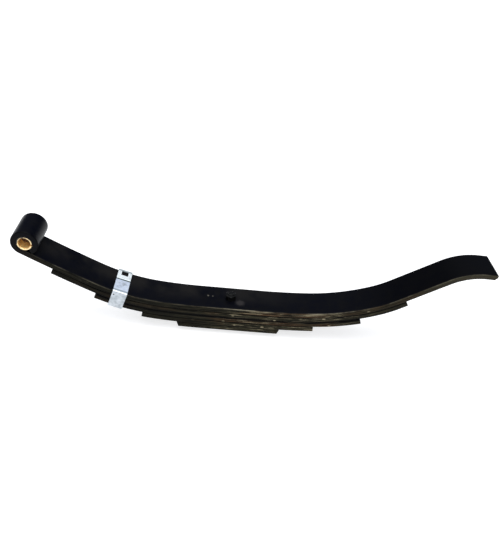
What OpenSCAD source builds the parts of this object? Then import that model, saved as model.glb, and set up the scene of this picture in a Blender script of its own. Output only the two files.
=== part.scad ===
// Five-leaf slipper spring for a trailer axle: an eye with a bronze bush at one end,
// a curled slipper toe at the other, a centre bolt and a rebound clip.
// Origin: centre of the eye bore. +X runs to the slipper toe, +Y across the leaves, +Z up.

/* [Leaves] */
// Width of every leaf
leaf_w = 50.8; // [40:0.1:76]
// Thickness of one leaf
leaf_t = 8.1; // [6:0.1:11]
// Film of paint and scale between two leaves at the clamp
leaf_gap = 0.05; // [0.02:0.01:0.3]
// Angle by which the three short leaves lie flatter than the second on the eye side
eye_nip = 0.3; // [0:0.05:0.6]
// The same angle on the slipper side
toe_nip = 0.8; // [0:0.05:1.2]
// Reach of the second leaf each way from the centre bolt
second_reach = 253; // [200:1:262]
// Reach of the third leaf each way from the centre bolt
third_reach = 187; // [170:1:195]
// Reach of the fourth leaf each way from the centre bolt
fourth_reach = 122; // [100:1:150]
// Reach of the fifth leaf each way from the centre bolt
fifth_reach = 74; // [60:0.5:90]
// How far the fifth leaf's cropped ends slope in at the bottom
crop_slope = 3; // [0.5:0.5:6]
// Height of the square land left at the top of those ends
crop_land = 1; // [0.5:0.1:3]

/* [Seat and eye side] */
// Half of the flat length that the axle is clamped to
seat_half = 44; // [36:1:50]
// Length of the soft bend next to the seat
eye_soft_len = 60; // [45:1:75]
// Turn of the soft bend, in degrees
eye_soft_turn = 5.1; // [3:0.1:7]
// Length of the main bend
eye_bend_len = 91; // [75:1:110]
// Turn of the main bend, in degrees
eye_bend_turn = 19.5; // [14:0.1:23]
// Length of the arm from the main bend to the eye
eye_arm_len = 106; // [85:1:130]
// Turn of that arm, in degrees
eye_arm_turn = 3; // [1:0.1:6]

/* [Slipper side] */
// Length of the soft bend next to the seat
toe_soft_len = 70; // [55:1:85]
// Turn of the soft bend, in degrees
toe_soft_turn = 4.4; // [3:0.1:6]
// Length of the main bend
toe_bend_len = 97; // [80:1:117]
// Turn of the main bend, in degrees
toe_bend_turn = 18.3; // [14:0.1:22]
// Length of the tighter bend before the slipper arm
toe_knee_len = 31; // [25:1:38]
// Turn of that tighter bend, in degrees
toe_knee_turn = 11.4; // [8:0.1:14]
// Straight length of the slipper arm
toe_arm_len = 76; // [62:1:92]
// Length of the downward curl at the end
toe_curl_len = 56; // [50:1:68]
// Turn of the downward curl, in degrees
toe_curl_turn = 35.2; // [28:0.1:40]
// Length of the toe past the curl
toe_len = 14; // [8:1:20]
// Chamfer under the toe
toe_chamfer = 3; // [0.5:0.5:4]

/* [Eye bush] */
// Outer diameter of the bush, and the bore that the eye is rolled to
bush_od = 20.64; // [18:0.01:25]
// Bore of the bush, for the shackle bolt
bush_id = 15.88; // [12:0.01:16.5]
// How far the bush stops inside each side of the eye
bush_inset = 0.4; // [0.2:0.1:2]
// Width of the seam where the bush's rolled edges meet
bush_seam = 3; // [0.3:0.1:4]
// Gap between the rolled end of the eye and the leaf below it
eye_gap = 0.4; // [0.2:0.1:2]

/* [Centre bolt] */
// Diameter of the bolt's shank
bolt_d = 9.53; // [8:0.01:13]
// Radial clearance of the bolt in the leaves
bolt_clear = 0.4; // [0.2:0.1:1]
// Diameter of the round head that locates the axle
head_d = 14.29; // [13:0.01:17]
// Height of that head
head_h = 8; // [5:0.5:12]
// Chamfer on the head
head_chamfer = 1; // [0.5:0.1:2]
// Size across the flats of the nut
nut_af = 14.29; // [14:0.01:20]
// Height of the nut
nut_h = 7.5; // [5:0.1:11]
// Length of thread that stands out of the nut
thread_out = 1.5; // [0.5:0.1:4]

/* [Rebound clip] */
// Distance from the centre bolt to the middle of the clip, along the main leaf
clip_reach = 158; // [150:1:160]
// Width of the clip's strap
clip_w = 20.5; // [15:0.5:24]
// Thickness of the strap
clip_t = 1.6; // [1.2:0.1:2.5]
// Clearance between the strap and the leaves
clip_clear = 0.65; // [0.35:0.05:0.8]
// Inner radius of the strap's bends
clip_bend = 1; // [0.5:0.1:1]
// Place of the joint between the two flaps, from the middle of the leaf towards the back
flap_joint = 2.5; // [-4:0.5:6]
// Width of that joint
flap_gap = 0.6; // [0.3:0.1:1.5]
// Side of the square window in the back flap
window = 10; // [6:0.5:11]
// Width of strap left between the window and the joint
window_land = 10; // [7:0.5:10]
// Diameter of the rivet's shank
rivet_d = 6; // [5:0.1:8]
// Diameter of the rivet's heads
rivet_head_d = 11; // [9:0.5:13]
// Height of the rivet's lower head
rivet_head_h = 2.6; // [2:0.1:4]
// Depth of the countersunk head in the third leaf
rivet_sink = 2.5; // [1.5:0.1:3]
// Radial clearance of the rivet in the third leaf and the strap
rivet_clear = 0.15; // [0.1:0.05:0.3]

/* [Hidden] */
$fn = 360;

leaf_color = [0.08, 0.08, 0.09];
leaf_pitch = leaf_t + leaf_gap;
bush_r = bush_od / 2;
eye_outer = bush_r + leaf_t;
// The rolled end stops where its outer corner would meet the leaf that it was rolled from.
eye_wrap = 360 - acos((bush_r - eye_gap) / eye_outer);
nut_gap = 0.05;
seam_angle = -12;
cut_over = 1;
// A bend's outline is drawn in facets no longer, and turning no more, than these.
step_len = 4;
step_turn = 5;

// A side of the spring is a chain of stretches, each [length, turn], from the bolt outwards.
eye_side = [
    [seat_half, 0],
    [eye_soft_len, eye_soft_turn],
    [eye_bend_len, eye_bend_turn],
    [eye_arm_len, eye_arm_turn]
];
eye_roll = [[bush_r * eye_wrap * PI / 180, eye_wrap]];
toe_side = [
    [seat_half, 0],
    [toe_soft_len, toe_soft_turn],
    [toe_bend_len, toe_bend_turn],
    [toe_knee_len, toe_knee_turn],
    [toe_arm_len, 0],
    [toe_curl_len, -toe_curl_turn],
    [toe_len, 0]
];

// Pose [x, z, heading] after one stretch, and after a whole chain of them.
function bend_radius(part) = part[0] / (part[1] * PI / 180);
function after(pose, part) =
    part[1] == 0
    ? [pose[0] + part[0] * cos(pose[2]), pose[1] + part[0] * sin(pose[2]), pose[2]]
    : [
        pose[0] + bend_radius(part) * (sin(pose[2] + part[1]) - sin(pose[2])),
        pose[1] - bend_radius(part) * (cos(pose[2] + part[1]) - cos(pose[2])),
        pose[2] + part[1]
    ];
function end_of(chain, i = 0, pose = [0, 0, 0]) =
    i == len(chain) ? pose : end_of(chain, i + 1, after(pose, chain[i]));

// The first reach millimetres of a chain.
function cut_to(chain, reach, i = 0) =
    i == len(chain) || reach <= 0
    ? []
    : concat(
        [reach >= chain[i][0] ? chain[i] : [reach, chain[i][1] * reach / chain[i][0]]],
        cut_to(chain, reach - chain[i][0], i + 1)
    );

// The same chain with its soft bend, the second stretch, turned less by the nip.
function flatter(chain, angle) =
    [for (i = [0:len(chain) - 1]) i == 1 ? [chain[i][0], chain[i][1] - angle] : chain[i]];

// The short leaves follow the same line, flatter by the nip.
function eye_reach(reach) = cut_to(flatter(eye_side, eye_nip), reach);
function toe_reach(reach) = cut_to(flatter(toe_side, toe_nip), reach);

arm_end = end_of(eye_side);
// The eye's centre stands one bore radius off the top of the arm's end.
eye_x = arm_end[0] - bush_r * sin(arm_end[2]);
eye_z = arm_end[1] + bush_r * cos(arm_end[2]);

// Places its children in the plane of the seat: origin on the main leaf's top at the bolt.
module at_seat() {
    translate([eye_x, 0, -eye_z]) children();
}

// Turns a shape drawn in XY, with its width along Z, so that it stands in XZ.
module stand() {
    rotate([90, 0, 0]) children();
}

// Moves its children to the end of a chain, facing along it.
module at_end(chain) {
    pose = end_of(chain);
    translate([pose[0], pose[1], 0])
        rotate([0, 0, pose[2]])
        children();
}

// Points along one arc or straight of a chain, with the leaf's own line drop below it.
function below(pose, drop) = [pose[0] + drop * sin(pose[2]), pose[1] - drop * cos(pose[2])];
function steps(part) =
    part[1] == 0 ? 1 : ceil(max(part[0] / step_len, abs(part[1]) / step_turn));
function line_of(chain, drop) = [
    below([0, 0, 0], drop),
    for (i = [0:len(chain) - 1], k = [1:steps(chain[i])])
        below(
            end_of(concat([for (j = [0:1:i - 1]) chain[j]], [chain[i] * k / steps(chain[i])])),
            drop
        )
];
function flipped(points) = [for (p = points) [-p[0], p[1]]];
function backwards(points) = [for (i = [len(points) - 1:-1:0]) points[i]];

// A leaf's side outline: its top from the eye end to the toe end, then its underside back.
function outline(left, right, drop) = concat(
    backwards(flipped(line_of(left, drop))),
    line_of(right, drop),
    backwards(line_of(right, drop + leaf_t)),
    flipped(line_of(left, drop + leaf_t))
);

module leaf_bar(left, right, drop) {
    stand() linear_extrude(leaf_w, center = true) polygon(outline(left, right, drop));
}

module bolt_hole(drop) {
    translate([0, 0, -drop - leaf_t - cut_over])
        cylinder(r = bolt_d / 2 + bolt_clear, h = leaf_t + 2 * cut_over);
}

// A leaf below the main one: index counts from the main leaf, which is 0.
module lower_leaf(index, left, right) {
    drop = index * leaf_pitch;
    difference() {
        leaf_bar(left, right, drop);
        bolt_hole(drop);
    }
}

// The wedge that slopes a leaf's end inwards by slope over the height at its bottom.
module end_crop(chain, drop, slope, height) {
    low = drop + leaf_t;
    top = low - height;
    over = slope * cut_over / height;
    at_end(chain)
        translate([0, 0, -leaf_w / 2 - cut_over])
        linear_extrude(leaf_w + 2 * cut_over)
        polygon([
            [0, -top],
            [cut_over, -top],
            [cut_over, -low - cut_over],
            [-slope - over, -low - cut_over]
        ]);
}

module main_leaf() {
    color(leaf_color) at_seat() difference() {
        leaf_bar(concat(eye_side, eye_roll), toe_side, 0);
        bolt_hole(0);
        stand() end_crop(toe_side, 0, toe_chamfer, leaf_t / 2);
    }
}

module second_leaf() {
    color(leaf_color) at_seat()
        lower_leaf(1, cut_to(eye_side, second_reach), cut_to(toe_side, second_reach));
}

module third_leaf() {
    color(leaf_color) at_seat() difference() {
        lower_leaf(2, eye_reach(third_reach), toe_reach(third_reach));
        at_clip() rivet_shape(rivet_clear);
    }
}

module fourth_leaf() {
    color(leaf_color) at_seat()
        lower_leaf(3, eye_reach(fourth_reach), toe_reach(fourth_reach));
}

module fifth_leaf() {
    drop = 4 * leaf_pitch;
    color(leaf_color) at_seat() difference() {
        lower_leaf(4, eye_reach(fifth_reach), toe_reach(fifth_reach));
        stand() end_crop(toe_reach(fifth_reach), drop, crop_slope, leaf_t - crop_land);
        mirror([1, 0, 0]) stand() end_crop(eye_reach(fifth_reach), drop, crop_slope, leaf_t - crop_land);
    }
}

module eye_bush() {
    length = leaf_w - 2 * bush_inset;
    color("goldenrod") rotate([90, 0, 0]) difference() {
        cylinder(r = bush_r, h = length, center = true);
        cylinder(d = bush_id, h = length + 2 * cut_over, center = true);
        rotate([0, 0, seam_angle])
            translate([0, -bush_seam / 2, -length / 2 - cut_over])
            cube([bush_r + cut_over, bush_seam, length + 2 * cut_over]);
    }
}

module centre_bolt() {
    stack = 4 * leaf_pitch + leaf_t;
    top = nut_gap + nut_h + thread_out;
    color([0.12, 0.12, 0.13]) at_seat() rotate_extrude() polygon([
        [0, -stack - head_h],
        [head_d / 2 - head_chamfer, -stack - head_h],
        [head_d / 2, -stack - head_h + head_chamfer],
        [head_d / 2, -stack],
        [bolt_d / 2, -stack],
        [bolt_d / 2, top - head_chamfer],
        [bolt_d / 2 - head_chamfer, top],
        [0, top]
    ]);
}

module centre_nut() {
    corner = nut_af / 2 / cos(30);
    drop = (corner - nut_af / 2) * tan(30);
    color([0.1, 0.1, 0.11]) at_seat() translate([0, 0, nut_gap]) difference() {
        intersection() {
            cylinder(r = corner, h = nut_h, $fn = 6);
            rotate_extrude() polygon([
                [0, 0],
                [corner, 0],
                [corner, nut_h - drop],
                [nut_af / 2, nut_h],
                [0, nut_h]
            ]);
        }
        translate([0, 0, -cut_over]) cylinder(d = bolt_d + 0.04, h = nut_h + 2 * cut_over);
    }
}

// The clip's own place: on the main leaf's top, facing away from the bolt, width along Y.
module at_clip() {
    pose = end_of(cut_to(eye_side, clip_reach));
    mirror([1, 0, 0])
        translate([pose[0], 0, pose[1]])
        rotate([0, -pose[2], 0])
        children();
}

// Depth of the three clipped leaves where the clip sits, with the nip that has opened there.
nip_open = (clip_reach - seat_half - eye_soft_len / 2) * sin(eye_nip);
clipped = 2 * leaf_pitch + leaf_t + nip_open;

module rounded(width, low, high, r) {
    translate([-width / 2 + r, low]) square([width - 2 * r, high - low]);
    translate([-width / 2, low + r]) square([width, high - low - 2 * r]);
    for (x = [-width / 2 + r, width / 2 - r], y = [low + r, high - r])
        translate([x, y]) circle(r);
}

module rebound_clip() {
    inner_w = leaf_w + 2 * clip_clear;
    inner_low = -clipped - clip_clear;
    outer_r = clip_bend + clip_t;
    window_y = flap_joint + window_land;
    color("silver") at_seat() at_clip() difference() {
        rotate([90, 0, 90]) linear_extrude(clip_w, center = true) difference() {
            rounded(inner_w + 2 * clip_t, inner_low - clip_t, clip_clear + clip_t, outer_r);
            rounded(inner_w, inner_low, clip_clear, clip_bend);
        }
        translate([-clip_w / 2 - cut_over, flap_joint - flap_gap / 2, clip_clear - clip_bend])
            cube([clip_w + 2 * cut_over, flap_gap, clip_t + 2 * cut_over]);
        translate([-window / 2, window_y, clip_clear - clip_bend])
            cube([window, window, clip_t + 2 * cut_over]);
        rivet_shape(rivet_clear);
    }
}

// The rivet's outline, larger all round by spare: a countersunk head at the top of the
// third leaf, a shank, and a low round head under the strap.
module rivet_shape(spare) {
    top = -(clipped - leaf_t);
    under = -clipped - clip_clear - clip_t;
    head_r = rivet_head_d / 2 + spare;
    shank_r = rivet_d / 2 + spare;
    over = spare > 0 ? cut_over : 0;
    rotate_extrude() polygon([
        [0, top + over],
        [head_r, top + over],
        [head_r, top],
        [shank_r, top - rivet_sink],
        [shank_r, under],
        [rivet_head_d / 2, under],
        [rivet_head_d / 2, under - rivet_head_h / 3],
        [rivet_head_d / 4, under - rivet_head_h],
        [0, under - rivet_head_h]
    ]);
}

module clip_rivet() {
    color("lightgray") at_seat() at_clip() rivet_shape(0);
}

main_leaf();
second_leaf();
third_leaf();
fourth_leaf();
fifth_leaf();
eye_bush();
centre_bolt();
centre_nut();
rebound_clip();
clip_rivet();
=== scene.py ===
# %% [markdown]
# # A leaf spring for a trailer
# Five flat steel leaves are held in a stack by a centre bolt. The longest one is rolled up
# into an eye at one end and curled over into a slipper toe at the other. A bronze bush sits in
# the eye, and a zinc-plated clip keeps the upper leaves together when the wheel drops.
# The engineering model is loaded first as a fixed frame. Every piece made below is a finer
# stand-in for one of its parts, in metres and in the same place.

import math

import bpy
import numpy as np
from mathutils import Matrix, Vector


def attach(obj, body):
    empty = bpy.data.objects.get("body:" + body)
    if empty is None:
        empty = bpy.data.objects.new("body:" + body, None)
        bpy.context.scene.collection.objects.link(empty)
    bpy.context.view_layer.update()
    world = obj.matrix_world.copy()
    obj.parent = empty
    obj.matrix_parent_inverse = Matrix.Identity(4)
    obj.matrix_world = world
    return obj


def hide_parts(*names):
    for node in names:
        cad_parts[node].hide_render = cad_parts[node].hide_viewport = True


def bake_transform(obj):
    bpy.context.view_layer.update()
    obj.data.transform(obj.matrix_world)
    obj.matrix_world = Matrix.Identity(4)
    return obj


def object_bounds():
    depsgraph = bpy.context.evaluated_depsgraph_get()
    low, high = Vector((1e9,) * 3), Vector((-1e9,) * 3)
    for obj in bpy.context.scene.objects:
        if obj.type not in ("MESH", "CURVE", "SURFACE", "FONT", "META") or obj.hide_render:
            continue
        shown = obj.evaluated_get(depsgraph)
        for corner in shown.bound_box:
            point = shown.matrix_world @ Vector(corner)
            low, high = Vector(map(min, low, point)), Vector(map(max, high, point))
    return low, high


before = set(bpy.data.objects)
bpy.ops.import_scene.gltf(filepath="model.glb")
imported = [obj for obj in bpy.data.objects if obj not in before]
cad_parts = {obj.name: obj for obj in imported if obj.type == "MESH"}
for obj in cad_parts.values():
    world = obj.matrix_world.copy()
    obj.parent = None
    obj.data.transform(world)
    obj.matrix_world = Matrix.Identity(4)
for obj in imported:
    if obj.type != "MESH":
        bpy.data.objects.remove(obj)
cad_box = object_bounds()
MM = 0.001

# %% [markdown]
# ## The sizes that shape the spring
# A spring maker bends each leaf over a former, so the natural way to write its side view is a
# chain of stretches, each with a length in millimetres and a turn in degrees. A curve drawn
# through measured points would need many numbers and would never be quite flat or quite round.
# The chain needs a few, and every leaf can share it.

# %% Driving sizes
LEAF_W, LEAF_T, LEAF_GAP = 50.8 * MM, 8.1 * MM, 0.05 * MM
LEAF_PITCH = LEAF_T + LEAF_GAP
BUSH_R, BUSH_BORE_R = 10.32 * MM, 7.94 * MM
EYE_SIDE = [(44, 0), (60, 5.1), (91, 19.5), (106, 3)]
TOE_SIDE = [(44, 0), (70, 4.4), (97, 18.3), (31, 11.4), (76, 0), (56, -35.2), (14, 0)]
EYE_NIP, TOE_NIP = 0.3, 0.8
REACHES = {"second": 253, "third": 187, "fourth": 122, "fifth": 74}
TINY = 1e-9


def chain_of(parts, nip=0.0):
    """Stretches in metres and radians; the nip makes the second one, the soft bend, flatter."""
    chain = [[length * MM, math.radians(turn)] for length, turn in parts]
    chain[1][1] -= math.radians(nip)
    return chain


def length_of(chain):
    """The whole length of a chain."""
    return sum(length for length, _ in chain)


def cut_to(chain, reach):
    """The first reach metres of a chain."""
    kept = []
    for length, turn in chain:
        if reach <= TINY:
            break
        share = min(1.0, reach / length)
        kept.append([length * share, turn * share])
        reach -= length
    return kept


def stretch(d, length, turn, heading):
    """How far x, z and the heading move in a distance d. On a straight the point moves by
    d (cos a, sin a). On a bend of radius r = length / turn it moves by
    r (sin b - sin a, cos a - cos b), where the heading goes from a to b = a + d / r."""
    if abs(turn) < TINY:
        return d * math.cos(heading), d * math.sin(heading), 0 * d
    r = length / turn
    ahead = heading + d / r
    return r * (np.sin(ahead) - math.sin(heading)), r * (math.cos(heading) - np.cos(ahead)), d / r


def walk(chain, s):
    """x, z and heading at distances s along a chain, added up stretch by stretch."""
    s = np.asarray(s, float)
    x, z, a = np.zeros_like(s), np.zeros_like(s), np.zeros_like(s)
    x0 = z0 = a0 = s0 = 0.0
    for i, (length, turn) in enumerate(chain):
        on = s >= s0 if i else np.ones_like(s, bool)
        d = s[on] - s0
        if i < len(chain) - 1:
            d = np.minimum(d, length)
        dx, dz, da = stretch(d, length, turn, a0)
        x[on], z[on], a[on] = x0 + dx, z0 + dz, a0 + da
        dx, dz, da = stretch(np.float64(length), length, turn, a0)
        x0, z0, a0, s0 = x0 + dx, z0 + dz, a0 + da, s0 + length
    return x, z, a


eye_arm = chain_of(EYE_SIDE)
arm_x, arm_z, arm_a = (float(v) for v in walk(eye_arm, length_of(eye_arm)))
SEAT_X = arm_x - BUSH_R * math.sin(arm_a)
SEAT_Z = -(arm_z + BUSH_R * math.cos(arm_a))
print(f"bolt at x {SEAT_X / MM:.1f} mm, top leaf at z {SEAT_Z / MM:.1f} mm")

# %% [markdown]
# ## From a grid of points to a mesh
# Nearly every piece here is a section carried along a path. Both are whole numpy arrays, so
# the points make a grid with rows along the path and columns round the section. One helper
# turns any such grid into a mesh, closes its ends, and turns it right side out by checking
# the sign of its volume. Building it face by face with operators would be slower and would
# hide the formula.

# %% Mesh helpers
CRISP = 35


def volume(points, faces):
    """Signed volume: the sum of a . (b x c) / 6 over the triangles of each face's fan."""
    total = 0.0
    for n in sorted({len(f) for f in faces}):
        same = np.array([f for f in faces if len(f) == n])
        for k in range(1, n - 1):
            a, b, c = points[same[:, 0]], points[same[:, k]], points[same[:, k + 1]]
            total += np.einsum("ij,ij->i", a, np.cross(b, c)).sum() / 6
    return total


def grid_faces(rows, columns, wrap_rows=False):
    """Quads that join each grid point to its neighbours. The columns always close a ring."""
    i = np.arange(rows if wrap_rows else rows - 1)[:, None]
    j = np.arange(columns)[None, :]
    i2, j2 = (i + 1) % rows, (j + 1) % columns
    corners = np.broadcast_arrays(i * columns + j, i * columns + j2, i2 * columns + j2, i2 * columns + j)
    return [tuple(q) for q in np.stack(corners, -1).reshape(-1, 4).tolist()]


def smooth(obj, sharp):
    """Smooth shading that stays crisp where faces meet at more than sharp degrees."""
    obj.data.polygons.foreach_set("use_smooth", [True] * len(obj.data.polygons))
    obj.data.set_sharp_from_angle(angle=math.radians(sharp))


def piece_from(name, grid, wrap_rows=False, attributes=None, sharp=CRISP):
    """A mesh from grid[row, column] = (x, y, z). Its rows close a ring when wrap_rows is
    true, and otherwise a face closes each end."""
    rows, columns = grid.shape[:2]
    points = grid.reshape(-1, 3)
    faces = grid_faces(rows, columns, wrap_rows)
    if not wrap_rows:
        faces.append(tuple(range(columns - 1, -1, -1)))
        faces.append(tuple(range((rows - 1) * columns, rows * columns)))
    if volume(points, faces) < 0:
        faces = [f[::-1] for f in faces]
    mesh = bpy.data.meshes.new(name)
    mesh.from_pydata(points.tolist(), [], faces)
    for key, values in (attributes or {}).items():
        kind, field = ("FLOAT", "value") if values.ndim == 2 else ("FLOAT_VECTOR", "vector")
        layer = mesh.attributes.new(key, kind, "POINT")
        layer.data.foreach_set(field, values.astype(np.float32).ravel())
    obj = bpy.data.objects.new(name, mesh)
    bpy.context.scene.collection.objects.link(obj)
    smooth(obj, sharp)
    return obj


def cut_away(obj, cutter):
    """Takes cutter out of obj and deletes it."""
    modifier = obj.modifiers.new("cut", "BOOLEAN")
    modifier.operation, modifier.solver, modifier.object = "DIFFERENCE", "EXACT", cutter
    evaluated = obj.evaluated_get(bpy.context.evaluated_depsgraph_get())
    mesh = bpy.data.meshes.new_from_object(evaluated)
    obj.modifiers.clear()
    obj.data = mesh
    mesh.name = obj.name
    bpy.data.objects.remove(cutter)
    smooth(obj, CRISP)
    return obj


print("mesh helpers ready")

# %% [markdown]
# ## Sections, turned shapes and unevenness
# Three more helpers serve several pieces: a rectangle with round corners for bar and strip, a
# surface of turning for whatever a lathe would make, and a gentle unevenness, because rolled
# steel is never quite flat.

# %% Shape helpers
AXIS_R = 0.02 * MM


def rounded_section(width, height, radius, across=10, bend=5, up=3):
    """Points (a, h) round a rectangle whose corners are arcs of the given radius. width,
    height and radius may be columns, one row for each ring, so that rings can shrink."""
    w, t, r = (np.atleast_1d(np.asarray(v, float))[:, None] for v in (width, height, radius))
    quarter = np.linspace(0, math.pi / 2, bend + 1)
    signs = [(1, 1), (-1, 1), (-1, -1), (1, -1)]
    sides = []
    for k, (sign_a, sign_h) in enumerate(signs):
        angle = (quarter + k * math.pi / 2)[None, :]
        a = sign_a * (w / 2 - r) + r * np.cos(angle)
        h = sign_h * (t / 2 - r) + r * np.sin(angle)
        sign_a, sign_h = signs[(k + 1) % 4]
        next_a = sign_a * (w / 2 - r) + r * math.cos((k + 1) * math.pi / 2)
        next_h = sign_h * (t / 2 - r) + r * math.sin((k + 1) * math.pi / 2)
        share = np.linspace(0, 1, (up if k % 2 else across) + 1)[None, 1:-1]
        a = np.concatenate([a, a[:, -1:] + (next_a - a[:, -1:]) * share], 1)
        h = np.concatenate([h, h[:, -1:] + (next_h - h[:, -1:]) * share], 1)
        sides.append(np.stack([a, h], -1))
    section = np.concatenate(sides, 1)
    return section[..., 0], section[..., 1]


def around(count):
    """A row of angles, evenly round a circle."""
    return np.linspace(0, 2 * math.pi, count, endpoint=False)[None, :]


def turned(r, z, t):
    """A surface of turning about the bolt's line: (r cos t, r sin t, z) from its foot."""
    return np.stack(np.broadcast_arrays(SEAT_X + r * np.cos(t), r * np.sin(t), SEAT_Z + z), -1)


def ripple(u, v, seed, waves=8, shortest=12 * MM, longest=60 * MM):
    """A smooth unevenness from -1 to 1: sine waves of seeded length and direction, each
    later one a little shorter."""
    rng = np.random.default_rng(seed)
    total = 0 * u
    for k in range(waves):
        length = rng.uniform(shortest, longest) / (1 + 0.3 * k)
        angle, phase = rng.uniform(0, math.pi), rng.uniform(0, 2 * math.pi)
        total = total + np.sin((u * math.cos(angle) + v * math.sin(angle)) * 2 * math.pi / length + phase)
    return total / waves


print("shape helpers ready")

# %% [markdown]
# ## The leaves
# Each leaf is hot-rolled flat bar with small rounded edges, sheared to length. Its section is
# carried along the chain, and each point keeps its unrolled place (distance from the bolt,
# place across, height in the bar) as an attribute, so that scale, streaks and wear can run
# along the bar even where it is rolled into the eye.
# A leaf bends when the spring is loaded, so it is made in two halves that meet at the bolt.

# %% Leaf builder
EDGE_R, END_R, LEAST_R = 1.3 * MM, 0.5 * MM, 0.2 * MM
WAVE = 0.07 * MM
SIDE_WAVE = 1.6 * WAVE
SLIM = 0.06 * MM
SHEARED, RAGGED = 6 * MM, 0.15 * MM
CROP_LAND = 1 * MM
END_SEED, SIDE_SEED = 50, 90


def stations(chain, step=3.5 * MM, step_turn=math.radians(4)):
    """Distances along a chain, closer together where it turns, then five that round the end,
    and how far each ring shrinks for that rounding."""
    found, start = [], 0.0
    for length, turn in chain:
        count = max(2, math.ceil(length / step), math.ceil(abs(turn) / step_turn))
        found += list(start + length * np.arange(count) / count)
        start += length
    found = [s for s in found if s < start - 2 * END_R]
    round_off = np.linspace(0, math.pi / 2, 5)
    s = np.concatenate([found, start - END_R + END_R * np.sin(round_off)])
    inset = np.concatenate([np.zeros(len(found)), END_R * (1 - np.cos(round_off))])
    return s, inset


def leaf_half(name, chain, side, drop, crop=0.0, thinned=0.0, seed=1):
    """The half of a leaf on one side of the bolt: side is -1 for the eye and 1 for the toe.
    A point at distance s along the chain and depth d under it lies at
    (x + d sin a, z - d cos a), where x, z and the heading a come from the walk. crop is how
    far the end slopes back under its land, thinned is the length over which the end thins to
    half from below, and seed is also the leaf's number from the top."""
    s, inset = stations(chain)
    total = length_of(chain)
    radius = np.maximum(EDGE_R - inset, LEAST_R)
    y, h = rounded_section(LEAF_W - SLIM - 2 * inset, LEAF_T - SLIM - 2 * inset, radius)
    s = np.broadcast_to(s[:, None], y.shape)
    unrolled = np.stack([side * s, y, h], -1)
    near_end = np.clip((s - total + SHEARED) / SHEARED, 0, 1)
    low = np.clip((LEAF_T / 2 - CROP_LAND - h) / (LEAF_T - CROP_LAND), 0, 1)
    ragged = RAGGED * ripple(y * 2, h * 3 + side, seed + END_SEED)
    place = s - near_end * (crop * low + ragged)
    if thinned:
        near_tip = np.clip((s - total + thinned) / thinned, 0, 1)
        h = h + near_tip * LEAF_T / 2 * (0.5 - h / LEAF_T)
    flat = np.clip(1 - np.abs(np.abs(h) - LEAF_T / 2) / MM, 0, 1)
    h = h + WAVE * flat * ripple(s * side, y, seed)
    y = y + SIDE_WAVE * (1 - flat) * ripple(s * side, h * 4 + 0.3, seed + SIDE_SEED) * np.sign(y)
    x, z, a = walk(chain, place)
    depth = drop + LEAF_T / 2 - h
    grid = np.stack([SEAT_X + side * (x + depth * np.sin(a)), y, SEAT_Z + z - depth * np.cos(a)], -1)
    marks = {"unrolled": unrolled, "end_gap": total - s, "bar": 0 * s + seed}
    return piece_from(name, grid, attributes=marks)


print(f"a leaf is {LEAF_W / MM:.1f} by {LEAF_T / MM:.1f} mm, less {SLIM / MM:.2f} mm for its unevenness")

# %% [markdown]
# ## Five leaves, ten halves
# The main leaf adds one more stretch to its chain, a bend as tight as the bush, which rolls
# almost the whole way round and stops just short of the arm. The shorter leaves take the same
# chain, cut to their reach and hung one thickness lower each. The lower three are bent a
# little flatter. That difference is the nip, and towards the ends it leaves a thin gap under
# the second leaf. A drill then goes through all of them for the centre bolt.

# %% Make the five leaves
BOLT_R = 4.765 * MM
HOLE_R = BOLT_R + 0.4 * MM
FIFTH_CROP, TOE_THINNED = 3 * MM, 3 * MM
EYE_GAP = 0.4 * MM
eye_wrap = 2 * math.pi - math.acos((BUSH_R - EYE_GAP) / (BUSH_R + LEAF_T))


def bolt_cutter():
    """A drill's worth of space along the bolt, through the whole pack."""
    z = np.array([-6 * LEAF_PITCH, LEAF_PITCH])[:, None]
    return piece_from("drill", turned(HOLE_R, z, around(48)))


eye_chain = eye_arm + [[BUSH_R * eye_wrap, eye_wrap]]
toe_chain = chain_of(TOE_SIDE)
leaves = {
    ("main_leaf", -1): leaf_half("main_leaf_eye_half", eye_chain, -1, 0),
    ("main_leaf", 1): leaf_half("main_leaf_toe_half", toe_chain, 1, 0, thinned=TOE_THINNED),
}
for index, (word, reach) in enumerate(REACHES.items(), start=1):
    nips = (0, 0) if word == "second" else (EYE_NIP, TOE_NIP)
    crop = FIFTH_CROP if word == "fifth" else 0
    for side, half, parts, nip in ((-1, "eye", EYE_SIDE, nips[0]), (1, "toe", TOE_SIDE, nips[1])):
        chain = cut_to(chain_of(parts, nip), reach * MM)
        name = f"{word}_leaf_{half}_half"
        leaves[word + "_leaf", side] = leaf_half(name, chain, side, index * LEAF_PITCH, crop, seed=1 + index)
for obj in leaves.values():
    cut_away(obj, bolt_cutter())
print(len(leaves), "half leaves,", sum(len(o.data.polygons) for o in leaves.values()), "faces")

# %% [markdown]
# ## The bronze bush
# The bush is a strip of bronze rolled into a tube, so it has a seam that never quite closes,
# and its rims are chamfered to lead the bolt in. A plain tube would lose both. The strip's
# section, a rectangle with soft corners, is carried round the bore and stops at the seam.

# %% Bush
BUSH_L = LEAF_W - 0.8 * MM
LEAD_IN, FLARE = 0.9 * MM, 0.7 * MM
SEAM, SEAM_AT = 3 * MM, math.radians(-12)
BUSH_STEPS = 140


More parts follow.
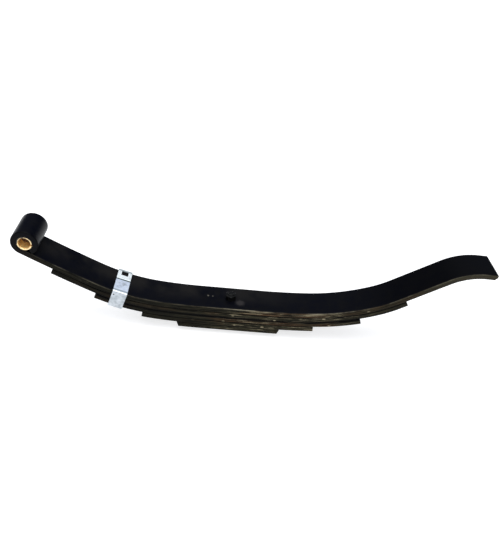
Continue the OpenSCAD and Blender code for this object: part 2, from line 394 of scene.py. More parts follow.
def eye_bush():
    """The section (r, y) turned through the angle t: (r cos t, y, r sin t)."""
    wall = BUSH_R - BUSH_BORE_R
    y, r = rounded_section(BUSH_L, wall, 0.35 * MM, across=24, bend=4, up=4)
    inner = np.clip(-r / (wall / 2), 0, 1)
    mouth = np.clip((np.abs(y) - BUSH_L / 2 + LEAD_IN) / LEAD_IN, 0, 1)
    r = r + inner * mouth * FLARE
    half_seam = SEAM / BUSH_R / 2
    t = np.linspace(SEAM_AT + half_seam, SEAM_AT + 2 * math.pi - half_seam, BUSH_STEPS)[:, None]
    at_seam = np.zeros((BUSH_STEPS, 1))
    at_seam[[0, -1]] = 1
    radius = (BUSH_R + BUSH_BORE_R) / 2 + r * (1 - 0.12 * at_seam)
    y = y * (1 - 0.004 * at_seam)
    grid = np.stack(np.broadcast_arrays(radius * np.cos(t), y, radius * np.sin(t)), -1)
    return piece_from("bronze_bush", grid)


bush = eye_bush()
print("bush faces", len(bush.data.polygons))

# %% [markdown]
# ## The centre bolt and its nut
# The bolt's round head hangs below the pack and drops into a hole in the axle's pad. Its
# thread stands a little out of the nut. Both are made as surfaces of turning: the radius
# depends on the height, and for a thread also on the angle, which makes a true helix.

# %% Centre bolt
STACK = 4 * LEAF_PITCH + LEAF_T
HEAD_R, HEAD_H, HEAD_CHAMFER, HEAD_EDGE = 7.145 * MM, 8 * MM, 1 * MM, 0.3 * MM
NUT_AF, NUT_H, NUT_GAP, THREAD_OUT = 14.29 * MM, 7.5 * MM, 0.05 * MM, 1.5 * MM
THREAD_PITCH, THREAD_DEPTH, RUN_OUT = 1.058 * MM, 0.55 * MM, 0.5 * MM
TIP_H, TIP_SLOPE = 1 * MM, 0.9


def thread(z, t):
    """Depth of a helical V thread: a triangle wave of height less turns, from 0 to 1."""
    turns = (z / THREAD_PITCH - t / (2 * math.pi)) % 1.0
    return np.abs(2 * turns - 1)


def centre_bolt():
    """The radius against height goes over the head's rounded rim, in under it and up the
    screw. The thread is cut out of the screw, and a cone takes off its tip."""
    top = NUT_GAP + NUT_H + THREAD_OUT
    soft = np.linspace(0, math.pi / 2, 7)
    head_z = -STACK - HEAD_H + HEAD_CHAMFER * (1 - np.cos(soft))
    head_r = HEAD_R - HEAD_CHAMFER * (1 - np.sin(soft))
    under_z = [-STACK - HEAD_EDGE, -STACK, -STACK, -STACK + 0.1 * MM]
    under_r = [HEAD_R, HEAD_R - HEAD_EDGE, BOLT_R, BOLT_R]
    screw_z = np.linspace(0, top, 120)
    z = np.concatenate([[head_z[0], head_z[0]], head_z, under_z, screw_z])[:, None]
    r = np.concatenate([[AXIS_R, 4 * MM], head_r, under_r, np.full(len(screw_z), BOLT_R)])[:, None]
    t = around(72)
    cut = np.clip((z - RUN_OUT) / RUN_OUT, 0, 1) * THREAD_DEPTH * thread(z, t)
    cone = BOLT_R + TIP_SLOPE * (top - z - TIP_H)
    radius = np.maximum(np.minimum(r - cut, cone), AXIS_R)
    return piece_from("centre_bolt_turned", turned(radius, z, t), sharp=50)


bolt = centre_bolt()
print("bolt faces", len(bolt.data.polygons))

# %% [markdown]
# The nut's wall starts as a hexagon. Real nuts are turned from hexagonal bar, and the tool
# leaves a cone at each end, which bites into the corners only. Taking the smaller of the two
# radii everywhere gives that curved edge without any cutting.

# %% Centre nut
CORNER_LEFT = 0.985
CONE_START, CONE_SLOPE, LOWER_EDGE = 0.97, 1.9, 0.3 * MM
BORE_FIT, BORE_THREAD = 0.04 * MM, 0.25 * MM
MOUTH_H, MOUTH_SLOPE = 0.6 * MM, 1.2


def centre_nut():
    """A loop of outer wall, top, threaded bore and bottom, turned round. The wall's radius
    is the smaller of a hexagon, (af / 2) / cos(angle from a flat), and a cone's at each end."""
    half = NUT_AF / 2
    corner = half / math.cos(math.radians(30))
    t = around(216)
    from_flat = (t + math.pi / 6) % (math.pi / 3) - math.pi / 6
    hexagon = np.minimum(half / np.cos(from_flat), corner * CORNER_LEFT)
    wall_z = np.linspace(0, NUT_H, 41)[:, None]
    to_end = np.minimum(wall_z + LOWER_EDGE, NUT_H - wall_z)
    wall = np.minimum(hexagon, half * CONE_START + to_end * CONE_SLOPE)
    bore_z = np.linspace(NUT_H, 0, 64)[:, None]
    mouth = np.maximum(MOUTH_H - np.minimum(bore_z, NUT_H - bore_z), 0)
    bore = BOLT_R + BORE_FIT - BORE_THREAD * (1 - thread(bore_z, t)) + MOUTH_SLOPE * mouth
    z = np.concatenate([np.broadcast_to(wall_z, wall.shape), np.broadcast_to(bore_z, bore.shape)])
    grid = turned(np.concatenate([wall, bore]), NUT_GAP + z, t)
    return piece_from("centre_nut_hex", grid, wrap_rows=True, sharp=28)


nut = centre_nut()
print("nut faces", len(nut.data.polygons))

# %% [markdown]
# ## The rebound clip
# The clip is a zinc-plated strap, bent round three leaves and closed on top by two flaps that
# meet edge to edge. Like the leaves it is a section carried along a path, here a rectangle
# with round corners that starts and ends at the joint between the flaps. The square window in
# the back flap is punched out at the end.

# %% Clip
CLIP_REACH, CLIP_W, CLIP_T, CLIP_CLEAR, CLIP_BEND = 158 * MM, 20.5 * MM, 1.6 * MM, 0.65 * MM, 1 * MM
FLAP_JOINT, FLAP_GAP, WINDOW, WINDOW_LAND = 2.5 * MM, 0.6 * MM, 10 * MM, 10 * MM
STRAP_ROUND, STRAP_END = 0.35 * MM, 0.25 * MM
nip_from = (EYE_SIDE[0][0] + EYE_SIDE[1][0] / 2) * MM
nip_open = (CLIP_REACH - nip_from) * math.sin(math.radians(EYE_NIP))
CLIPPED = 2 * LEAF_PITCH + LEAF_T + nip_open
clip_x, clip_z, clip_a = (float(v) for v in walk(eye_arm, CLIP_REACH))


def at_clip(x, y, z):
    """From the clip's own axes, x away from the bolt along the leaf and z off the leaf's top,
    to the frame's: turned by the leaf's heading there, then moved to its place."""
    across = clip_x + x * math.cos(clip_a) - z * math.sin(clip_a)
    up = clip_z + x * math.sin(clip_a) + z * math.cos(clip_a)
    return np.stack(np.broadcast_arrays(SEAT_X - across, y, SEAT_Z + up), -1)


def straight(start, end, steps=11):
    """The rows (y, z, angle) strictly between two others, evenly spaced."""
    return start + (end - start) * np.linspace(0, 1, steps + 1)[1:-1, None]


def strap_path():
    """Rows (y, z, angle of the outward normal) round the strap's middle line, from one side
    of the joint to the other: straights between four arcs of radius r,
    (cy + r cos a, cz + r sin a)."""
    half_w = LEAF_W / 2 + CLIP_CLEAR + CLIP_T / 2
    top, low = CLIP_CLEAR + CLIP_T / 2, -CLIPPED - CLIP_CLEAR - CLIP_T / 2
    r = CLIP_BEND + CLIP_T / 2
    bends = [(half_w - r, top - r, 90), (half_w - r, low + r, 0)]
    bends += [(-half_w + r, low + r, -90), (-half_w + r, top - r, -180)]
    path = [np.array([[FLAP_JOINT + FLAP_GAP / 2, top, math.pi / 2]])]
    for cy, cz, first in bends:
        a = np.radians(first - np.linspace(0, 90, 9))
        arc = np.stack([cy + r * np.cos(a), cz + r * np.sin(a), a], -1)
        path += [straight(path[-1][-1], arc[0]), arc]
    last = np.array([FLAP_JOINT - FLAP_GAP / 2, top, -1.5 * math.pi])
    path += [straight(path[-1][-1], last), last[None]]
    return np.concatenate(path)


def rebound_clip():
    """The strap's section (x, h) along the path: h goes outwards, along the normal."""
    path = strap_path()
    y, z, a = path[:, 0:1], path[:, 1:2], path[:, 2:3]
    inset = np.zeros(len(path))
    inset[[0, -1]] = STRAP_END
    x, h = rounded_section(CLIP_W - 2 * inset, CLIP_T - 2 * inset, STRAP_ROUND, bend=4, up=2)
    return piece_from("zinc_strap", at_clip(x, y + h * np.cos(a), z + h * np.sin(a)))


def window_cutter():
    """A square with round corners, pushed through the back flap."""
    y, x = rounded_section(WINDOW, WINDOW, 0.8 * MM, across=2, up=2)
    z = np.array([-0.3 * MM, CLIP_CLEAR + CLIP_T + MM])[:, None]
    return piece_from("punch", at_clip(x, y + FLAP_JOINT + WINDOW_LAND + WINDOW / 2, z))


strap = cut_away(rebound_clip(), window_cutter())
print("strap faces", len(strap.data.polygons))

# %% [markdown]
# ## The clip's rivet
# A rivet holds the strap to the third leaf. Its upper head is sunk in the leaf, so only the
# low round head under the strap is ever seen. It is a turned surface like the bolt.

# %% Rivet
RIVET_HEAD_R, RIVET_HEAD_H, RIVET_SHANK_R, RIVET_SINK = 5.5 * MM, 2.6 * MM, 3 * MM, 2.5 * MM
RIVET_EDGE = 0.1 * MM


def clip_rivet():
    """The radius against height goes over the dome, up the shank and over the sunk head."""
    top, under = -(CLIPPED - LEAF_T), -CLIPPED - CLIP_CLEAR - CLIP_T
    dome = np.linspace(0, math.pi / 2, 14)
    upper_z = [under, under + 0.01 * MM, top - RIVET_SINK, top - RIVET_EDGE, top]
    brim = RIVET_HEAD_R - RIVET_EDGE
    upper_r = [brim, RIVET_SHANK_R, RIVET_SHANK_R, RIVET_HEAD_R, brim]
    z = np.concatenate([under - RIVET_HEAD_H * np.cos(dome), upper_z])[:, None]
    r = np.concatenate([RIVET_HEAD_R * np.sin(dome), upper_r])[:, None]
    r = np.maximum(r, AXIS_R)
    t = around(56)
    return piece_from("clip_rivet_turned", at_clip(r * np.cos(t), r * np.sin(t), z))


rivet = clip_rivet()
print("rivet faces", len(rivet.data.polygons))

# %% [markdown]
# ## Riding the frame
# The frame has three bodies: the eye end, which stays put, the clamp round the bolt, which
# rises as the spring takes load, and the clip. A leaf belongs wholly to neither of the first
# two, so no half is attached to a body; each keeps its place baked into its mesh.

# %% Ride the frame
for (node, side), obj in leaves.items():
    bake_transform(obj)
    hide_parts(node)
riders = (
    (bush, "eye_end", "eye_bush", "bronze"),
    (bolt, "axle_clamp", "centre_bolt", "black_bolt"),
    (nut, "axle_clamp", "centre_nut", "black_bolt"),
    (strap, "clip", "rebound_clip", "zinc_plate"),
    (rivet, "clip", "clip_rivet", "zinc_plate"),
)
for obj, body, node, slot_name in riders:
    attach(obj, body)
    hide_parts(node)
print(len(leaves) + len(riders), "pieces ride the frame")

# %% [markdown]
# ## Shader helpers
# A finish is a tree of nodes. Writing out every link would bury the idea, so a small class
# adds a node and links or sets its inputs in one call. The effects that several finishes
# share are node groups with named inputs, as they would be if drawn by hand.


# %% Node helpers
class Tree:
    """Adds nodes to one tree. An input is either a plain value or another node's output."""

    def __init__(self, tree):
        self.tree = tree

    def put(self, socket, value):
        """Links an output to the socket, or sets a plain value on it."""
        if isinstance(value, bpy.types.NodeSocket):
            self.tree.links.new(value, socket)
        else:
            socket.default_value = value

    def add(self, kind, inputs=None, **settings):
        """A node of this kind, with its settings and then its inputs."""
        made = self.tree.nodes.new("ShaderNode" + kind)
        for key, value in settings.items():
            setattr(made, key, value)
        for key, value in (inputs or {}).items():
            self.put(made.inputs[key], value)
        return made

    def math(self, operation, *values):
        """One step of arithmetic."""
        return self.add("Math", dict(enumerate(values)), operation=operation).outputs[0]

    def vector(self, operation, one, other, output="Vector"):
        """One step of arithmetic on vectors."""
        return self.add("VectorMath", {0: one, 1: other}, operation=operation).outputs[output]

    def times(self, product, *others):
        """All the values multiplied together."""
        for other in others:
            product = self.math("MULTIPLY", product, other)
        return product

    def fade(self, value, low, high):
        """0 below low, 1 above high, and a smooth step between; low may be the larger."""
        ends = {"Value": value, "From Min": low, "From Max": high}
        return self.add("MapRange", ends, interpolation_type="SMOOTHSTEP").outputs[0]

    def between(self, value, low, high):
        """0 to 1 stretched to low to high."""
        return self.add("MapRange", {"Value": value, "To Min": low, "To Max": high}).outputs[0]

    def mix(self, share, one, other):
        """One colour where share is 0, the other where it is 1."""
        one, other = ((*c, 1) if isinstance(c, tuple) else c for c in (one, other))
        return self.add("Mix", {0: share, 6: one, 7: other}, data_type="RGBA").outputs[2]

    def noise(self, place, scale, detail=4.0, rough=0.55, stretch=(1, 1, 1)):
        """Cloudy noise from 0 to 1; scale is in lumps per metre, times stretch on each axis."""
        place = self.add("Mapping", {"Vector": place, "Scale": stretch}).outputs[0]
        inputs = {"Vector": place, "Scale": scale, "Detail": detail, "Roughness": rough}
        return self.add("TexNoise", inputs).outputs[0]

    def swing(self, noise, size):
        """A noise turned into an offset, from minus to plus half of size."""
        return self.times(self.math("SUBTRACT", noise, 0.5), size)

    def bump(self, height, strength, depth):
        """A normal tilted as if the surface rose and fell by depth with the height."""
        return self.add("Bump", {"Height": height, "Strength": strength, "Distance": depth}).outputs[0]

    def use(self, group, inputs):
        """The outputs of a shared group for these inputs."""
        return self.add("Group", inputs, node_tree=group).outputs


def new_group(name, inputs, outputs):
    """An empty group with sockets given as {name: kind}. Returns it, its Tree, ins and outs."""
    group = bpy.data.node_groups.new(name, "ShaderNodeTree")
    for in_out, sockets in (("INPUT", inputs), ("OUTPUT", outputs)):
        for key, kind in sockets.items():
            group.interface.new_socket(key, in_out=in_out, socket_type="NodeSocket" + kind)
    ins = group.nodes.new("NodeGroupInput").outputs
    outs = group.nodes.new("NodeGroupOutput").inputs
    return group, Tree(group), ins, outs


def new_material(name):
    """A material with a Principled shader. Returns it, its Tree and the shader."""
    material = bpy.data.materials.new(name)
    material.use_nodes = True
    return material, Tree(material.node_tree), material.node_tree.nodes["Principled BSDF"]


def feed(t, shader, **values):
    """Sets or links inputs of the shader; an underscore in a name stands for a space."""
    for key, value in values.items():
        value = (*value, 1) if isinstance(value, tuple) else value
        t.put(shader.inputs[key.replace("_", " ")], value)


print("node helpers ready")

# %% [markdown]
# ## Effects that the finishes share
# Grain is the fine unevenness that any rolled or plated steel has under its finish. Flecks
# are small round chips or spots: the nearest-point distance of a Voronoi texture, kept only
# where it is small, and thinned out by a broad noise so that they come in groups.

# %% Shared groups
grain, t, ins, outs = new_group(
    "rolled_grain",
    {"Place": "Vector", "Lumps": "Float", "Fine": "Float"},
    {"Height": "Float", "Cloud": "Float"},
)
lumps = {"Vector": ins["Place"], "Scale": ins["Lumps"], "Detail": 5.0, "Roughness": 0.6}
specks = {"Vector": ins["Place"], "Scale": ins["Fine"], "Detail": 3.0, "Roughness": 0.7}
cloud, fine = (t.add("TexNoise", inputs).outputs[0] for inputs in (lumps, specks))
t.put(outs["Height"], t.math("ADD", t.times(cloud, 0.7), t.times(fine, 0.3)))
t.put(outs["Cloud"], cloud)

flecks, t, ins, outs = new_group(
    "flecks",
    {"Place": "Vector", "Per metre": "Float", "Size": "Float", "Amount": "Float"},
    {"Mask": "Float"},
)
cells = t.add("TexVoronoi", {"Vector": ins["Place"], "Scale": ins["Per metre"], "Randomness": 1.0})
spot = t.fade(cells.outputs["Distance"], ins["Size"], t.times(ins["Size"], 0.55))
groups = t.noise(ins["Place"], 26.0, 3.0)
chance = t.add("SeparateColor", {0: cells.outputs["Color"]}).outputs[0]
rare = t.math("LESS_THAN", chance, t.times(ins["Amount"], t.fade(groups, 0.38, 0.62)))
t.put(outs["Mask"], t.times(spot, rare))
print("shared groups:", [g.name for g in bpy.data.node_groups])

# %% [markdown]
# ## Black paint on rolled steel
# The leaves were dipped in thin black paint over blue-black mill scale. Their flat faces are
# satin and nearly even, bluer along the front and dusty along the back. The sides, where the
# bar was slit, are browner, with streaks that run lengthwise.
# Everything is laid out on the unrolled place, so a streak follows the bar round the eye.
# The number of the leaf shifts the pattern, so that no two leaves repeat.

# %% Leaf finish: places and masks
leaf_paint, t, shader = new_material("spring_steel_painted")
unrolled = t.add("Attribute", attribute_name="unrolled").outputs["Vector"]
along, across, height = t.add("SeparateXYZ", {0: unrolled}).outputs
bar = t.add("Attribute", attribute_name="bar").outputs["Fac"]
end_gap = t.add("Attribute", attribute_name="end_gap").outputs["Fac"]
shift = t.add("CombineXYZ", {0: t.times(bar, 1.7), 2: t.times(bar, 0.61)}).outputs[0]
place = t.vector("ADD", unrolled, shift)
to_side = t.math("SUBTRACT", LEAF_W / 2, t.math("ABSOLUTE", across))
to_face = t.math("SUBTRACT", LEAF_T / 2, t.math("ABSOLUTE", height))
side_mask = t.fade(to_side, 1.1 * MM, 0.3 * MM)
end_mask = t.fade(end_gap, 0.5 * MM, 0.1 * MM)
corner = t.times(t.fade(to_side, 1.5 * MM, 0.5 * MM), t.fade(to_face, 1.7 * MM, 0.5 * MM))
top_leaf = t.math("LESS_THAN", bar, 1.5)
on_top = t.times(top_leaf, t.fade(height, 2 * MM, 3.6 * MM))
open_edge = t.times(top_leaf, t.math("GREATER_THAN", height, 0.0))
eye_to_arm = t.between(t.fade(along, -330 * MM, -255 * MM), 0.12, 1)
cut_mask = t.times(side_mask, eye_to_arm)
worked = t.times(t.fade(along, -60 * MM, 30 * MM), t.fade(along, 250 * MM, 130 * MM))
grains = t.use(grain, {"Place": place, "Lumps": 70.0, "Fine": 900.0})
streak = t.noise(place, 30.0, 5.0, 0.65, (1, 6, 26))
broad = t.noise(place, 9.0, 2.0)
print("leaf masks ready")

# %% [markdown]
# ### Faces and sides
# A face goes from blue-black to a dusty grey, and is painted blackest towards the toe: painted
# shade, where the tilted face reflects less light. A side goes from near black to olive, with a
# little rust. It is darker towards the eye and paler towards the toe.

# %% Leaf finish: paint
BLUE_BLACK, GREY_BLACK = (0.0006, 0.0009, 0.0030), (0.0020, 0.0021, 0.0030)
TOE_PAINTED_SHADE, DUST = (0.0003, 0.0003, 0.0006), (0.0085, 0.0080, 0.0078)
DARK_OLIVE, OLIVE = (0.0020, 0.0020, 0.0012), (0.0300, 0.0268, 0.0150)
EYE_OLIVE, TOE_OLIVE = (0.0024, 0.0024, 0.0016), (0.046, 0.041, 0.027)
RUST, SHEARED_END = (0.062, 0.026, 0.010), (0.0045, 0.0045, 0.0038)
face = t.mix(t.fade(grains["Cloud"], 0.35, 0.7), BLUE_BLACK, GREY_BLACK)
dusty = t.times(t.fade(across, -20 * MM, 12 * MM), t.fade(t.noise(place, 22.0, 4.0), 0.36, 0.66))
dusty = t.times(dusty, t.between(t.fade(along, 130 * MM, 0), 0.1, 1))
face = t.mix(dusty, face, DUST)
# Painted shade: the faces darken towards the toe, where they tilt away from the light.
face = t.mix(t.times(t.fade(along, 110 * MM, 300 * MM), 0.8), face, TOE_PAINTED_SHADE)
slit = t.mix(t.fade(streak, 0.38, 0.64), DARK_OLIVE, OLIVE)
slit = t.mix(t.times(t.fade(along, 20 * MM, -170 * MM), 0.7), slit, EYE_OLIVE)
slit = t.mix(t.times(t.fade(along, 240 * MM, 360 * MM), 0.55), slit, TOE_OLIVE)
rust = t.times(t.fade(broad, 0.5, 0.66), t.fade(streak, 0.42, 0.62), t.between(worked, 0.2, 0.75))
slit = t.mix(rust, slit, RUST)
colour = t.mix(cut_mask, face, slit)
colour = t.mix(end_mask, colour, SHEARED_END)
print("leaf paint ready")

# %% [markdown]
# ### Dirt, painted shade and worn edges
# Oil and dust gather where two leaves meet, and the joint lies in shade, so a dark line is painted
# along each joint, partly dirt and partly painted shade. It is widest under the second leaf,
# where the shorter leaves are bent a little flatter and a thin gap opens. Paint has rubbed off the
# top edge and off parts of the sides, mostly between the bolt and the toe, and the pale line along
# the top leaf's upper edge is partly a painted highlight on its rounded corner. The dark joint
# line hides most of what is scuffed there.

# %% Leaf finish: dirt, painted shade, wear and painted highlight
JOINT_DIRT_AND_SHADE, WORN_AND_HIGHLIGHT = (0.0012, 0.0012, 0.0010), (0.17, 0.155, 0.11)
SCRAPED, CHIPPED = (0.26, 0.225, 0.145), (0.36, 0.31, 0.2)
# Dirt and painted shade: a dark line along each joint, widest where the thin gap under the second leaf
# opens.
depth = t.math("SUBTRACT", t.times(bar, LEAF_T), height)
from_wide = t.math("ABSOLUTE", t.math("SUBTRACT", depth, 2.5 * LEAF_T))
widening = t.times(t.fade(from_wide, 3 * MM, 2.5 * MM), 1.6 * MM)
joint = t.fade(t.math("SUBTRACT", to_face, widening), 1.2 * MM, 0.3 * MM)
dirt_and_shade = t.times(joint, side_mask, t.math("SUBTRACT", 1.0, open_edge))
colour = t.mix(t.times(dirt_and_shade, 0.94), colour, JOINT_DIRT_AND_SHADE)
# Worn paint and a painted highlight: a pale line along the top leaf's upper edge.
rub = t.fade(t.noise(place, 45.0, 5.0, 0.65, (0.6, 1, 1)), 0.36, 0.62)
past_eye = t.between(t.fade(along, -300 * MM, -240 * MM), 0.1, 1)
wear_and_highlight = t.times(corner, open_edge, rub, t.between(worked, 0.35, 1), past_eye)
colour = t.mix(wear_and_highlight, colour, WORN_AND_HIGHLIGHT)
scuff = t.math("ADD", t.noise(place, 26.0, 6.0, 0.7, (1, 5, 30)), t.times(worked, 0.085))
scuff = t.times(t.fade(scuff, 0.625, 0.71), cut_mask, t.between(worked, 0.25, 1), t.between(dirt_and_shade, 1, 0.25))
colour = t.mix(scuff, colour, SCRAPED)
longer = t.add("Mapping", {"Vector": place, "Scale": (0.3, 1, 1)}).outputs[0]
chips = t.use(flecks, {"Place": longer, "Per metre": 330.0, "Size": 0.32, "Amount": 0.16})["Mask"]
chips = t.times(chips, cut_mask, t.between(worked, 0.04, 1))
colour = t.mix(chips, colour, CHIPPED)
print("leaf wear ready")

# %% [markdown]
# ### Marks near the bolt
# Two flecks of pale paint lie on the top leaf on one side of the nut, and a paler patch on
# the other. A mark is a distance from its middle, made ragged by adding noise.


# %% Leaf finish: marks, then the shader
def mark(x, y, radius, ragged):
    """A blot on the top leaf, x along from the bolt and y across."""
    flat_place = t.vector("MULTIPLY", unrolled, (1, 1, 0))
    gap = t.vector("DISTANCE", flat_place, (x, y, 0), "Value")
    gap = t.math("ADD", gap, t.swing(t.noise(place, 420.0, 3.0), ragged))
    return t.times(t.fade(gap, radius, 0.35 * radius), on_top)


pale = [mark(x * MM, 1.6 * MM, radius * MM, 5 * MM) for x, radius in ((-33, 1.8), (-26, 1.6))]
colour = t.mix(t.times(t.math("MAXIMUM", *pale), 0.6), colour, (0.16, 0.15, 0.12))
paler_patch = mark(14 * MM, -9.5 * MM, 8.5 * MM, 9 * MM)
colour = t.mix(t.times(paler_patch, 0.6), colour, (0.036, 0.033, 0.033))
metal = t.math("MAXIMUM", chips, t.math("MAXIMUM", scuff, t.times(wear_and_highlight, 0.4)))
relief = t.math("ADD", grains["Height"], t.times(streak, side_mask, 1.4))
feed(
    t,
    shader,
    Base_Color=colour,
    Metallic=t.times(metal, 0.6),
    Roughness=t.math("ADD", t.between(grains["Cloud"], 0.24, 0.4), t.times(cut_mask, 0.25)),
    Specular_IOR_Level=0.05,
    Normal=t.bump(relief, 0.6, 0.18 * MM),
)
for obj in leaves.values():
    obj.data.materials.clear()
    obj.data.materials.append(leaf_paint)
print("leaf finish has", len(leaf_paint.node_tree.nodes), "nodes")

# %% [markdown]
# ## Bronze
# Freshly cut bronze is pale on the rims. Inside it is a warmer gold, with fine lines from
# rolling, and it is painted a dull red-brown towards the middle of the bore: painted shade, where
# little light reaches deep inside. The lines come from a noise that is stretched along Y. The
# outer edge of each rim is painted near black, further at the top than below.

# %% Bronze finish
RIM_Y = 24.8 * MM
bronze, t, shader = new_material("bronze_rolled")
place = t.add("TexCoord").outputs["Object"]
from_middle = t.math("ABSOLUTE", t.add("SeparateXYZ", {0: place}).outputs[1])
grains = t.use(grain, {"Place": place, "Lumps": 160.0, "Fine": 1600.0})
lines = t.noise(place, 40.0, 3.0, 0.6, (1, 40, 1))
tone = t.mix(t.fade(grains["Cloud"], 0.35, 0.7), (1.0, 0.76, 0.34), (0.97, 0.60, 0.20))
tone = t.mix(t.times(t.fade(lines, 0.55, 0.75), 0.35), tone, (0.45, 0.22, 0.08))
# Painted shade: the bore darkens to red-brown towards its middle, where little light reaches.
uneven = t.math("ADD", from_middle, t.swing(grains["Cloud"], 14 * MM))
bore_shade = t.fade(uneven, 13 * MM, 8 * MM)
tone = t.mix(t.times(bore_shade, 0.95), tone, (0.11, 0.022, 0.008))
rim = t.fade(from_middle, RIM_Y - 0.5 * MM, RIM_Y)
tone = t.mix(rim, tone, (1.0, 0.77, 0.42))
# The outer edge of each rim is painted near black, further at the top than below.
level = t.vector("MULTIPLY", place, (1, 0, 1))
from_bore = t.vector("DISTANCE", level, (0.4 * MM, 0, -0.6 * MM), "Value")
from_bore = t.math("ADD", from_bore, t.swing(t.noise(place, 260.0, 2.0), 2.5 * MM))
dark_rim_edge = t.times(rim, t.fade(from_bore, 9.4 * MM, 9.8 * MM))
tone = t.mix(dark_rim_edge, tone, (0.004, 0.004, 0.004))
feed(
    t,
    shader,
    Base_Color=tone,
    Metallic=t.between(t.math("MAXIMUM", bore_shade, dark_rim_edge), 0.6, 0.05),
    Roughness=t.between(grains["Cloud"], 0.26, 0.44),
    Normal=t.bump(lines, 0.3, 0.05 * MM),
)
bush.data.materials.append(bronze)
print("bronze has", len(bronze.node_tree.nodes), "nodes")

# %% [markdown]
# ## Zinc plate
# Bright bluish zinc on the strap and rivet. Handling and stacking leave grey stains, a few
# dark specks and dull patches. Each bend carries a painted highlight, with a band of painted shade
# just before it. A dark green-grey line along the joint between the flaps is painted shadow of the
# step there. Plated sheet is matt enough that much of its light is scattered, so it is treated as
# half metal and half paint.

# %% Zinc finish: plate and stains
zinc, t, shader = new_material("zinc_plated")
place = t.add("TexCoord").outputs["Object"]
side_place = t.add("SeparateXYZ", {0: place}).outputs[1]
from_centre = t.math("ABSOLUTE", side_place)
grains = t.use(grain, {"Place": place, "Lumps": 120.0, "Fine": 1400.0})
stain = t.fade(t.noise(place, 85.0, 5.0, 0.7), 0.5, 0.7)
flap = t.mix(t.fade(grains["Cloud"], 0.3, 0.7), (0.74, 0.81, 0.92), (0.60, 0.68, 0.81))
flap = t.mix(t.fade(side_place, FLAP_JOINT, FLAP_JOINT + MM), flap, (0.92, 0.98, 0.99))
wall = t.mix(t.fade(grains["Cloud"], 0.35, 0.65), (0.58, 0.62, 0.66), (0.36, 0.40, 0.43))
tone = t.mix(t.fade(from_centre, 26.0 * MM, 26.8 * MM), flap, wall)
tone = t.mix(t.times(stain, 0.6), tone, (0.22, 0.24, 0.27))
spots = t.use(flecks, {"Place": place, "Per metre": 430.0, "Size": 0.3, "Amount": 0.35})["Mask"]
tone = t.mix(t.times(spots, 0.8), tone, (0.10, 0.11, 0.11))
print("zinc plate ready")

# %% [markdown]
# ### Marks on the zinc, painted light among them
# Four marks belong to places on the strap: a painted shadow at the joint, a band of painted shade
# before each upper bend, a painted highlight on the bend itself, and one small dark spot low on the
# near wall.

# %% Zinc finish: marks, then the shader
# Painted shadow: a dark green-grey line along the joint, where one flap's end steps onto the other.
from_joint = t.math("ABSOLUTE", t.math("ADD", side_place, -FLAP_JOINT))
tone = t.mix(t.fade(from_joint, 1.3 * MM, 0.8 * MM), tone, (0.03, 0.055, 0.05))
# Painted shade on the flap just before each upper bend, then a painted highlight on the bend itself.
bend_shade = t.times(t.fade(from_centre, 20.5 * MM, 22.5 * MM), t.fade(from_centre, 25.2 * MM, 24.4 * MM))
tone = t.mix(t.times(bend_shade, 0.7), tone, (0.20, 0.25, 0.26))
bend = t.times(t.fade(from_centre, 25.0 * MM, 25.7 * MM), t.fade(from_centre, 27.2 * MM, 26.6 * MM))
tone = t.mix(t.times(bend, 0.8), tone, (0.90, 0.93, 0.93))
dark_spot = tuple(float(v) for v in at_clip(7.5 * MM, -27.4 * MM, -4 * MM))
from_dark_spot = t.vector("DISTANCE", place, dark_spot, "Value")
tone = t.mix(t.fade(from_dark_spot, 1.5 * MM, 0.8 * MM), tone, (0.015, 0.015, 0.015))
feed(
    t,
    shader,
    Base_Color=tone,
    Metallic=0.5,
    Roughness=t.math("ADD", t.between(grains["Cloud"], 0.3, 0.46), t.times(stain, 0.15)),
    Normal=t.bump(grains["Height"], 0.3, 0.08 * MM),
)
strap.data.materials.append(zinc)
rivet.data.materials.append(zinc)
print("zinc has", len(zinc.node_tree.nodes), "nodes")

# %% [markdown]
# ## Black bolt and nut
# Oiled black steel with a thin coat of the leaves' paint, and a few chips.

# %% Black fastener finish
black, t, shader = new_material("black_fastener")
place = t.add("TexCoord").outputs["Object"]
grains = t.use(grain, {"Place": place, "Lumps": 220.0, "Fine": 1800.0})
tone = t.mix(t.fade(grains["Cloud"], 0.35, 0.7), (0.0012, 0.0012, 0.0014), (0.0050, 0.0050, 0.0048))
chips = t.use(flecks, {"Place": place, "Per metre": 420.0, "Size": 0.34, "Amount": 0.14})["Mask"]
chips = t.times(chips, 0.8)
tone = t.mix(chips, tone, (0.3, 0.28, 0.22))
feed(
    t,
    shader,
    Base_Color=tone,
    Metallic=chips,
    Roughness=t.between(grains["Cloud"], 0.34, 0.55),
    Specular_IOR_Level=0.12,
    Normal=t.bump(grains["Height"], 0.35, 0.08 * MM),
)
for obj in (bolt, nut):
    obj.data.materials.append(black)
print("black has", len(black.node_tree.nodes), "nodes")

# %% [markdown]
# ## Floor
# The floor is plain white and lies under the lowest point of the spring. It gives off some
# light of its own, which keeps the shadow on it faint.

# %% Floor
FLOOR_HALF = 9
low = cad_box[0].z
square = [(-1, -1), (1, -1), (1, 1), (-1, 1)]
floor_mesh = bpy.data.meshes.new("studio_floor")
floor_mesh.from_pydata([(x * FLOOR_HALF, y * FLOOR_HALF, low) for x, y in square], [], [(0, 1, 2, 3)])
floor = bpy.data.objects.new("studio_floor", floor_mesh)
bpy.context.scene.collection.objects.link(floor)
floor_paint, t, shader = new_material("floor_white")
feed(
    t,
    shader,
    Base_Color=(0.5, 0.5, 0.5),
    Roughness=0.9,
    Specular_IOR_Level=0.0,
    Emission_Color=(1, 1, 1),
    Emission_Strength=0.75,
)
floor_mesh.materials.append(floor_paint)
print("floor at z", round(low / MM, 1), "mm")

# %% [markdown]
# ## Lights
# A broad soft light overhead and a weaker one in front are enough to read dark paint without
# hard shadows. The sky is bright overhead and dark lower down, so satin paint that faces the
# viewer stays black while its upper curves catch some light.

# %% Lights
MIDDLE = Vector((0.31, 0, -0.05))


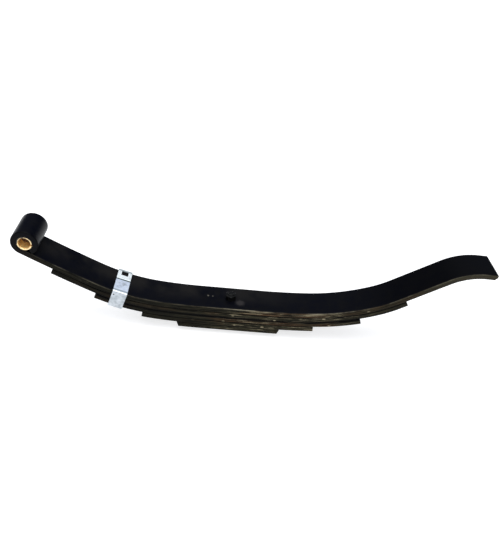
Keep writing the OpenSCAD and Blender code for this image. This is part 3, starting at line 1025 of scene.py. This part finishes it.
def soft_light(name, at, size, power):
    """A square area light at a place, aimed at the middle of the spring."""
    data = bpy.data.lights.new(name, "AREA")
    data.shape, data.size, data.energy = "SQUARE", size, power
    obj = bpy.data.objects.new(name, data)
    obj.location = at
    obj.rotation_euler = (MIDDLE - Vector(at)).to_track_quat("-Z", "Y").to_euler()
    bpy.context.scene.collection.objects.link(obj)


soft_light("overhead", (0.1, -0.25, 1.7), size=1.9, power=34)
soft_light("front_fill", (0.2, -1.8, 0.5), size=1.2, power=5)
world = bpy.data.worlds.new("studio")
world.use_nodes = True
t = Tree(world.node_tree)
up = t.add("SeparateXYZ", {0: t.add("TexCoord").outputs["Generated"]}).outputs[2]
sky = t.mix(t.fade(up, 0.4, 0.95), (0.15, 0.165, 0.21), (0.9, 0.94, 1.0))
t.put(t.tree.nodes["Background"].inputs["Color"], sky)
bpy.context.scene.world = world
bpy.context.scene.view_settings.view_transform = "Standard"
print(len(bpy.data.lights), "lights")

# %% [markdown]
# ## Camera
# The camera stands at the front, well above the spring, and is rolled a little, so that the
# long side of the spring rises across the picture.


# %% Camera
def stand_camera(aim, distance, pitch, yaw, roll, lens):
    """A camera that looks at a point from a distance: pitch is how far it looks down, yaw
    how far it turns towards +X, and roll how far it is turned anticlockwise, in degrees."""
    pitch, yaw, roll = (math.radians(v) for v in (pitch, yaw, roll))
    ahead = Vector((math.sin(yaw) * math.cos(pitch), math.cos(yaw) * math.cos(pitch), -math.sin(pitch)))
    right = ahead.cross(Vector((0, 0, 1))).normalized()
    up = right.cross(ahead)
    rolled_right = right * math.cos(roll) + up * math.sin(roll)
    rolled_up = up * math.cos(roll) - right * math.sin(roll)
    turn = Matrix((rolled_right, rolled_up, -ahead)).transposed().to_4x4()
    data = bpy.data.cameras.new("camera")
    data.sensor_width, data.lens = 36, lens
    obj = bpy.data.objects.new("camera", data)
    obj.matrix_world = Matrix.Translation(Vector(aim) - ahead * distance) @ turn
    bpy.context.scene.collection.objects.link(obj)
    bpy.context.scene.camera = obj
    return obj


AIM = (304.33 * MM, 0, -28.03 * MM)
camera = stand_camera(AIM, distance=851.68 * MM, pitch=35.143, yaw=5.231, roll=8.046, lens=39.968)
print("camera at", [round(v, 3) for v in camera.matrix_world.translation])
